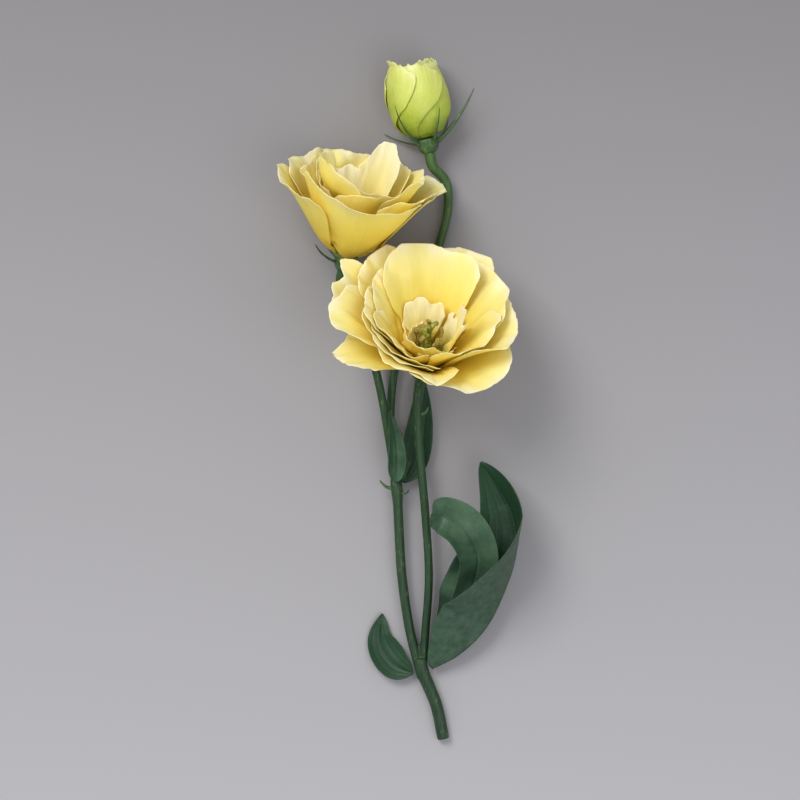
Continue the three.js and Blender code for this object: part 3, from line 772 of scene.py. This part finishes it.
def bud_sheet(row, phase, u, v):
    """One wound petal: an arc round the bud at its radius, further out at one edge than at the
    other, leaning round the bud as it rises, with a toothed tip."""
    azimuth, span, top, flare, share = row
    teeth = np.sin(23 * u + phase) + 0.6 * np.sin(41 * u - phase)
    s = (0.06 + 0.94 * v) * top * (1 - 0.24 * np.abs(u) ** 2.4) + BUD_TEETH * teeth * v**10
    wound = BUD_WOUND * (u + 1) * np.minimum(1, 4 * s) + flare * s**6
    ripple = BUD_RIPPLE * np.sin(9 * u + 5 * v + phase) * s
    reach = bud_radius(np.clip(s, 0, 1)) * share + wound + ripple
    opening = 0.34 + 0.66 * np.minimum(1, 2.2 * s)
    slant = BUD_LEAN * (s - 0.45) - BUD_SWAY * np.sin(2 * np.pi * s)
    turn = np.radians(azimuth + u * span * opening + slant)
    height = BUD_FOOT + s * BUD_LENGTH
    return np.stack([reach * np.cos(turn), reach * np.sin(turn), height], axis=-1)


bud_look = Shading("bud", roughness=0.45, subsurface_weight=0.2, subsurface_scale=0.003)
bud_look.surface.inputs["Subsurface Radius"].default_value = (0.9, 1.0, 0.3)
bud_veins = bud_look.noise(bud_look.place("UV", (60, 1.6, 1)), 1.0, 4.0, 0.6)
bud_blotch = bud_look.noise(bud_look.place("Object"), 160.0, 3.0)
bud_shift = bud_look.math("MULTIPLY", bud_look.math("SUBTRACT", bud_blotch, 0.5), 0.5)
bud_base = bud_look.ramp(
    bud_look.math("ADD", bud_look.part("Y", "UV"), bud_shift),
    [
        (0.0, (0.24, 0.32, 0.02)),
        (0.3, (0.42, 0.50, 0.05)),
        (0.65, (0.60, 0.65, 0.12)),
        (0.9, (0.70, 0.71, 0.18)),
        (1.0, (0.82, 0.82, 0.38)),
    ],
)
bud_streaked = bud_look.mix(
    bud_look.share(bud_veins, 0.42, 0.7, 0.7),
    bud_base,
    bud_look.tinted(bud_base, (0.80, 0.92, 0.62)),
)
bud_material = bud_look.finish(bud_streaked, bud_veins, 0.0003)

bud_u, bud_v = blade_grid(BUD_ACROSS, BUD_ALONG)
bud = blades(
    "bud_petals",
    [in_spray(bud_sheet(row, 1.7 * k, bud_u, bud_v), BUD) for k, row in enumerate(BUD_PETALS)],
    BUD_THICKNESS * (1 - BUD_THINNING * np.maximum(bud_v**8, np.abs(bud_u) ** 12)),
    np.stack([bud_u / 2 + 0.5, bud_v], axis=-1),
    bud_material,
)
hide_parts("petals_bud")

core_steps = [s * BUD_CORE_HEIGHT for s in np.linspace(0, 1, 9)]
core_profile = [
    (0.1, BUD_FOOT),
    *((bud_radius(s) * BUD_CORE_RADIUS, BUD_FOOT + s * BUD_LENGTH) for s in core_steps),
    (0.1, BUD_CORE_TOP),
]
core_points, core_faces = turned(core_profile)
bud_core = write_piece(
    "bud_core",
    in_spray(core_points, BUD),
    core_faces,
    bud_material,
    np.zeros((len(core_points), 2)),
)
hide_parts("petals_bud")

# ---------------------------------------------------------------- the calyces
# A small ribbed green cup under each bloom and bud, with five long narrow sepals. They are
# grown onto the flower, so they start inside the cup.
CALYX_DEPTH = 6.0
CUP_PROFILE = [
    (0.1, -6.2),
    (2.3, -6.0),
    (3.2, -5.2),
    (3.9, -4.0),
    (4.3, -2.6),
    (4.5, -1.2),
    (4.3, 0.0),
    (0.1, 0.1),
]
CUP_RIBS = 0.07

# A sepal starts at this radius and height in its bloom's frame, turns a little with each step and
# keeps clear of the table. Its section is flattened, and thinner at the tip.
SEPAL_STEPS = 4
SEPAL_ROOT_RADIUS = 3.8
SEPAL_ROOT_HEIGHT = -2.4
SEPAL_TURN = 2
SEPAL_LOWEST = 1.0
SEPAL_RADIUS = 1.05
SEPAL_TIP = 0.22
SEPAL_FLATTENED = 0.55

# Azimuth, length, rise at the root, bend per step.
SEPALS = {
    "calyx_front": (
        FRONT,
        [(98, 17, 10, 8), (170, 18, 6, 8), (254, 15, 26, 8), (300, 15, 24, 9), (26, 18, 8, 8)],
    ),
    "calyx_back": (
        BACK,
        [(62, 15, 18, 8), (136, 17, 22, 6), (205, 16, 24, 8), (268, 13, 27, 8), (340, 17, 24, 6)],
    ),
    "calyx_bud": (
        BUD,
        [(46, 16, 16, 8), (138, 18, 16, 6), (226, 23, 40, 11), (296, 18, 36, 12), (350, 27, 34, 6)],
    ),
}

green_look = Shading("calyx", roughness=0.42)
green_spots = green_look.noise(green_look.place("Object"), 420.0, 4.0)
green_color = green_look.ramp(
    green_spots,
    [(0.3, (0.022, 0.060, 0.018)), (0.6, (0.050, 0.115, 0.030)), (0.85, (0.13, 0.22, 0.06))],
)
green_material = green_look.finish(green_color, green_spots, 0.0002)

for node, (bloom, sepals) in SEPALS.items():
    cup_points, cup_faces = turned(CUP_PROFILE)
    turns = np.arctan2(cup_points[:, 1], cup_points[:, 0]) - np.radians(sepals[2][0])
    ribs = 1 + CUP_RIBS * np.cos(len(sepals) * turns)
    cup_points = cup_points * np.stack([ribs, ribs, np.ones_like(ribs)], axis=1)
    parts = [(in_spray(cup_points, bloom), cup_faces)]
    for azimuth, length, rise, bend in sepals:
        slopes = np.radians(rise + bend * np.arange(SEPAL_STEPS))
        step = length / SEPAL_STEPS
        radii = SEPAL_ROOT_RADIUS + step * np.concatenate([[0], np.cumsum(np.cos(slopes))])
        heights = SEPAL_ROOT_HEIGHT + step * np.concatenate([[0], np.cumsum(np.sin(slopes))])
        azimuths = azimuth + SEPAL_TURN * np.arange(SEPAL_STEPS + 1)
        way = in_spray(np.array([polar(*p) for p in zip(radii, azimuths, heights)]), bloom)
        way[:, 2] = np.maximum(way[:, 2], SEPAL_LOWEST)
        radius = tapered(np.linspace(0, 1, 40), SEPAL_RADIUS, SEPAL_TIP)
        parts.append(tube(smooth_path(way, 40), radius, 12, SEPAL_FLATTENED))
    points, faces = joined(parts)
    calyx = write_piece(f"{node}_sepals", points, faces, green_material)
    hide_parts(node)

# ---------------------------------------------------------------- the stem
# One fresh green stem, forked twice, that carries the blooms and the bud. The rods are grown
# into each other at the forks. It ends in a flat cut.
STEM = 2.5
STEM_WIDENS = 0.4
BRANCH = 2.0
NODE_WIDENS = 0.5
NODE_AT = 0.95
NODE_SPAN = 0.05
STALK = 1.75
STALK_WIDENS = 0.5
GAP = 0.3
CUT_END = (12, -44, 2.1)
FORK = (3, -15, 5)
BELOW_FORK = (3.2, -19, 4.6)
NODE = (-7, 58, 6)
STALK_STRAIGHT = 5.0
SUNK = 1.4


def on_axis(bloom, height):
    """The point of a bloom's axis at a height above its base."""
    return tuple(np.array(bloom[0]) + height * unit(np.array(bloom[1], float)))


def stalk_to(bloom, points):
    """A flower stalk through points, which ends straight below its calyx and widens there."""
    foot = -CALYX_DEPTH - GAP
    way = [*points, on_axis(bloom, foot - STALK_STRAIGHT), on_axis(bloom, foot + SUNK)]
    t = np.linspace(0, 1, 160)
    return tube(smooth_path(way, 160), STALK + STALK_WIDENS * t**6, 16)


t = np.linspace(0, 1, 120)
stem_way = [CUT_END, (9, -30, 3), FORK, (2.4, -11, 5.4)]
branch_way = [
    BELOW_FORK,
    (-1.6, 0, 5),
    (-4.9, 22, 5.4),
    (-6.2, 43, 5.8),
    NODE,
    (-7.6, 62, 6),
]
rods = [
    tube(smooth_path(stem_way, 120), STEM + STEM_WIDENS * t**3, 20),
    tube(
        smooth_path(branch_way, 120),
        BRANCH + NODE_WIDENS * np.exp(-(((t - NODE_AT) / NODE_SPAN) ** 2)),
        16,
    ),
    stalk_to(
        FRONT,
        [
            BELOW_FORK,
            (4.6, 0, 6),
            (6, 22, 7.4),
            (4.4, 50, 9.2),
            (1.8, 78, 10.4),
            (1.4, 93, 11.6),
        ],
    ),
    stalk_to(BACK, [(-7, 56, 6), (-10.4, 80, 8.4), (-15, 104, 10), (-21.6, 126, 11)]),
    stalk_to(
        BUD,
        [
            (-6.8, 56, 5.8),
            (-9.6, 80, 3.4),
            (-8, 106, 2.8),
            (-1, 132, 2.8),
            (9, 154, 3),
            (13.8, 172, 4.2),
            (12.8, 183, 5.6),
        ],
    ),
]

stem_look = Shading("stem", roughness=0.4, subsurface_weight=0.08, subsurface_scale=0.002)
stem_look.surface.inputs["Specular IOR Level"].default_value = 0.3
streaks = stem_look.noise(stem_look.place("Object", (900, 60, 900)), 1.0, 4.0, 0.6)
flecks = stem_look.noise(stem_look.place("Object", (1, 0.35, 1)), 900.0, 2.0)
# The ramp runs up the stem, from its cut end to the bud.
stem_base = stem_look.ramp(
    stem_look.math("ADD", stem_look.math("MULTIPLY", stem_look.part("Y", "Object"), 3.4), 0.5),
    [(0.0, (0.013, 0.037, 0.017)), (0.55, (0.021, 0.058, 0.021)), (1.0, (0.060, 0.130, 0.034))],
)
stem_streaked = stem_look.mix(
    stem_look.share(streaks, 0.45, 0.75, 0.8),
    stem_base,
    stem_look.tinted(stem_base, (2.0, 1.7, 1.6)),
)
stem_flecked = stem_look.mix(
    stem_look.share(flecks, 0.62, 0.72, 0.4),
    stem_streaked,
    (0.17, 0.23, 0.08),
)
stem_material = stem_look.finish(stem_flecked, streaks, 0.0002)

stem_points, stem_faces = joined(rods)
stem_points[:, 2] = np.maximum(stem_points[:, 2], LOWEST)
stem = write_piece("stem_rods", stem_points, stem_faces, stem_material)
grown = stem.modifiers.new("grown together", "REMESH")
grown.mode = "VOXEL"
grown.voxel_size = 0.00042
grown.use_smooth_shade = True
soft = stem.modifiers.new("soft joins", "SMOOTH")
soft.factor = 0.5
soft.iterations = 4
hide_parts("stem")

BRACT_RADIUS = 0.9
BRACT_TIP = 0.3
BRACT_FLATTENED = 0.6
BRACTS = [
    [(-8, 58, 6.5), (-11.5, 59, 7.4), (-14, 61.5, 8.4)],
    [(-6, 56.4, 6.5), (-3.2, 56.2, 7.6), (-2.2, 57.6, 8.8)],
    [(1.6, 88, 11.4), (4.6, 89, 12.4), (5.8, 91.4, 13.2)],
]
bract_radius = tapered(np.linspace(0, 1, 40), BRACT_RADIUS, BRACT_TIP)
bract_points, bract_faces = joined(
    [tube(smooth_path(way, 40), bract_radius, 12, BRACT_FLATTENED) for way in BRACTS]
)
bracts = write_piece("stem_bracts", bract_points, bract_faces, green_material)
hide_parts("stem")

# ---------------------------------------------------------------- the leaves
# Five stalkless blue-green leaves with a sunk midrib and veins that run from end to end. They
# have a thin grey wax, paler on the back and in patches on the face.
LEAF_THICKNESS = 0.55
LEAF_THINNING = 0.5
LEAF_ACROSS = 61
LEAF_ALONG = 140
MIDRIB_DEPTH = 0.3
MIDRIB_WIDTH = 0.07
VEIN_PLACES = (0.34, 0.66)
VEIN_DEPTH = 0.12
VEIN_WIDTH = 0.035

# The midrib runs through points from base to tip. Half is the half width, and widest the share of
# the length where the leaf is widest. Fold, cup and roll are angles in degrees. Fold and roll have
# several values, spread evenly from base to tip. Wave is the height of the ripple, in millimetres,
# and wax the share of grey.
LEAVES = {
    "leaf_upper_grey": {
        "midrib": [(-7.4, 61, 9.6), (-7.2, 68, 12), (-7.6, 77, 14), (-10, 90, 14.6)],
        "half": 4.2,
        "widest": 0.4,
        "fold": (8, 8),
        "cup": 50,
        "roll": (0, -10, -20),
        "wave": 0.3,
        "wax": 0.8,
    },
    "leaf_upper_dark": {
        "midrib": [(-4.4, 60.5, 4.8), (0, 70, 4), (2.6, 86, 3.6), (3.4, 104, 4)],
        "half": 6.2,
        "widest": 0.42,
        "fold": (4, 4),
        "cup": 26,
        "roll": (0, 0, 0),
        "wave": 0.3,
        "wax": 0.1,
    },
    "leaf_lower_left": {
        "midrib": [(-0.6, -17.2, 4.2), (-8, -13, 2), (-13.5, -4, 0.2), (-13, 7, 1.8)],
        "half": 7,
        "widest": 0.42,
        "fold": (6, 6),
        "cup": 30,
        "roll": (0, 0, 0),
        "wave": 0.4,
        "wax": 0.2,
    },
    "leaf_lower_right": {
        "midrib": [
            (7.2, -15, 5),
            (18, -9, 8),
            (28.5, 1.5, 11),
            (36, 16, 13),
            (41, 32, 14),
            (40, 46, 13.5),
            (35, 57, 13),
            (27, 69, 12),
        ],
        "half": 19,
        "widest": 0.42,
        "fold": (50, 60, 62, 47, 42, 30, 25, 18),
        "cup": 40,
        "roll": (85, 85, 82, 67, 47, 30, 20, 12),
        "wave": 0.8,
        "wax": 0.3,
    },
    "leaf_lower_inner": {
        "midrib": [
            (6.4, -7.2, 7.2),
            (12.5, 0, 9.6),
            (19, 10, 12.6),
            (24, 21, 17.5),
            (25.2, 32, 25),
            (19.5, 43, 30.5),
            (12.4, 47.6, 30.6),
            (8.8, 48, 27.8),
            (7.2, 48.2, 23),
        ],
        "half": 9,
        "widest": 0.6,
        "fold": (4, 4),
        "cup": 34,
        "roll": (50, 12, 0, -8, -10, -5, 0, 0),
        "wave": 0.4,
        "wax": 1.0,
    },
}


def leaf_path(points, v):
    """The midrib's curve at steps v, which are even from point to point, and its direction."""
    ends, gaps = with_ends(points)
    count = len(points) - 1
    k = np.minimum((v * count).astype(int), count - 1)
    near = [ends[k + n] for n in range(4)]
    apart = [gaps[k + n][:, None] for n in range(3)]
    places = between(near, apart, (v * count - k)[:, None])
    return places, unit(np.gradient(places, axis=0))


def degrees_along(values, steps):
    """Angles that change evenly from one to the next of a few values, at steps along a leaf."""
    return np.radians(np.interp(steps, np.linspace(0, 1, len(values)), values))[:, None]


def leaf_sheet(shape, u, v):
    """A leaf's middle surface: its halves rise from the midrib by the fold and are bowed by the
    cup, and the roll turns it about the midrib. The midrib and four long veins are sunk, the
    veins less under thick wax."""
    steps = v[:, 0]
    middle, way = leaf_path(shape["midrib"], steps)
    level = unit(np.stack([way[:, 1], -way[:, 0], np.zeros(len(way))], axis=1))
    above = np.cross(level, way)
    turn = degrees_along(shape["roll"], steps)
    side = level * np.cos(turn) + above * np.sin(turn)
    face = above * np.cos(turn) - level * np.sin(turn)
    power = np.log(0.5) / np.log(shape["widest"])
    width = shape["half"] * np.maximum(np.abs(np.sin(np.pi * v**power)) ** 0.7, 0.07 - 0.055 * v)
    bend, rise = np.radians(shape["cup"]), degrees_along(shape["fold"], steps)
    size = np.abs(u)
    out = np.sin(bend * size) / bend * width * np.cos(rise) * np.sign(u)
    lift = ((1 - np.cos(bend * size)) / bend + size * np.sin(rise)) * width
    ripple = shape["wave"] * size * np.sin(9 * v + 2 * u)
    sunk = MIDRIB_DEPTH * np.exp(-((size / MIDRIB_WIDTH) ** 2))
    vein_depth = VEIN_DEPTH * (1.15 - shape["wax"])
    for place in VEIN_PLACES:
        sunk = sunk + vein_depth * np.exp(-(((size - place) / VEIN_WIDTH) ** 2))
    height = lift + ripple - sunk * np.minimum(1, 6 * (1 - v))
    return middle[:, None] + side[:, None] * out[..., None] + face[:, None] * height[..., None]


def leaf_finish(name, wax):
    """Dark blue-green with patches of grey wax, a darker midrib and fine speckle. The back is
    paler and mottled."""
    look = Shading(name, roughness=0.45)
    look.surface.inputs["Specular IOR Level"].default_value = 0.3
    from_rib = look.math("ABSOLUTE", look.math("SUBTRACT", look.part("X", "UV"), 0.5))
    patches = look.noise(look.place("Object"), 75.0, 4.0)
    cells = look.noise(look.place("Object"), 1500.0, 3.0, 0.6)
    long_veins = look.noise(look.place("UV", (46, 2.0, 1)), 1.0, 3.0)
    green = look.ramp(
        long_veins,
        [(0.3, (0.012, 0.040, 0.018)), (0.55, (0.017, 0.053, 0.024)), (0.8, (0.027, 0.074, 0.033))],
    )
    waxy = look.share(patches, 0.62 - 0.3 * wax, 0.85 - 0.25 * wax, 0.75)
    greyed = look.mix(waxy, green, (0.082, 0.158, 0.090))
    speckled = look.mix(
        look.share(cells, 0.52, 0.72, 0.4),
        greyed,
        look.tinted(greyed, (1.7, 1.6, 1.5)),
    )
    ribbed = look.mix(
        look.ramp(from_rib, [(0.006, (0.6, 0.6, 0.6)), (0.016, (0, 0, 0))]),
        speckled,
        (0.022, 0.055, 0.026),
    )
    mottle = look.noise(look.place("Object"), 320.0, 5.0, 0.65)
    back = look.ramp(
        mottle,
        [
            (0.34, (0.030, 0.066, 0.036)),
            (0.55, (0.050, 0.096, 0.058)),
            (0.72, (0.078, 0.130, 0.086)),
        ],
    )
    backed = look.mix(
        look.math("MULTIPLY", look.math("SUBTRACT", 1.0, look.attribute("outer")), 0.8),
        ribbed,
        back,
    )
    roughness = look.math("ADD", look.math("MULTIPLY", patches, 0.35), 0.25)
    return look.finish(backed, cells, 0.00015, roughness)


leaf_u, leaf_v = blade_grid(LEAF_ACROSS, LEAF_ALONG)
leaf_uv = np.stack([leaf_u / 2 + 0.5, leaf_v], axis=-1)
leaf_edge = LEAF_THICKNESS * (1 - LEAF_THINNING * np.maximum(np.abs(leaf_u) ** 8, leaf_v**20))
for node, shape in LEAVES.items():
    sheet = leaf_sheet(shape, leaf_u, leaf_v)
    material = leaf_finish(node, shape["wax"])
    leaf = blades(f"{node}_blade", [sheet], leaf_edge, leaf_uv, material)
    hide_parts(node)

# ---------------------------------------------------------------- the table and the light
# A pale grey table, with painted shade that darkens it towards the top of the picture. A large soft
# lamp stands at the upper left, as in a studio, and a weaker one fills in from the lower right.
FLOOR = 3.0
floor_corners = [(-FLOOR, -FLOOR, 0), (FLOOR, -FLOOR, 0), (FLOOR, FLOOR, 0), (-FLOOR, FLOOR, 0)]
floor_mesh = bpy.data.meshes.new("table")
floor_mesh.from_pydata(floor_corners, [], [(0, 1, 2, 3)])
floor_look = Shading("table", roughness=0.85)
# Painted shade: the table goes from pale at the bottom of the picture to darker at the top.
painted_floor_falloff = floor_look.math("SUBTRACT", 0.5, floor_look.part("Y", "Object", (1, 3, 1)))
floor_color = floor_look.ramp(painted_floor_falloff, [(0.0, (0.21, 0.20, 0.208)), (1.0, (0.40, 0.39, 0.405))])
floor_mesh.materials.append(floor_look.finish(floor_color))
floor = bpy.data.objects.new("table", floor_mesh)
bpy.context.scene.collection.objects.link(floor)


LIT_POINT = (0, 0.03, 0.02)


def lamp(name, place, size, power, color):
    """A square area lamp that faces the middle of the spray."""
    data = bpy.data.lights.new(name, "AREA")
    data.size = size
    data.energy = power
    data.color = color
    made = bpy.data.objects.new(name, data)
    made.location = place
    towards = Vector(LIT_POINT) - made.location
    made.rotation_euler = towards.to_track_quat("-Z", "Y").to_euler()
    bpy.context.scene.collection.objects.link(made)


lamp("key", (-0.5, 0.6, 1.05), 0.6, 10.6, (1.0, 0.985, 0.96))
lamp("fill", (0.5, -0.4, 1.2), 0.9, 4.6, (0.96, 0.98, 1.0))

world = bpy.data.worlds.new("studio")
world.use_nodes = True
world.node_tree.nodes["Background"].inputs["Color"].default_value = (0.94, 0.96, 1.0, 1)
world.node_tree.nodes["Background"].inputs["Strength"].default_value = 0.64
bpy.context.scene.world = world
bpy.context.scene.view_settings.view_transform = "Standard"
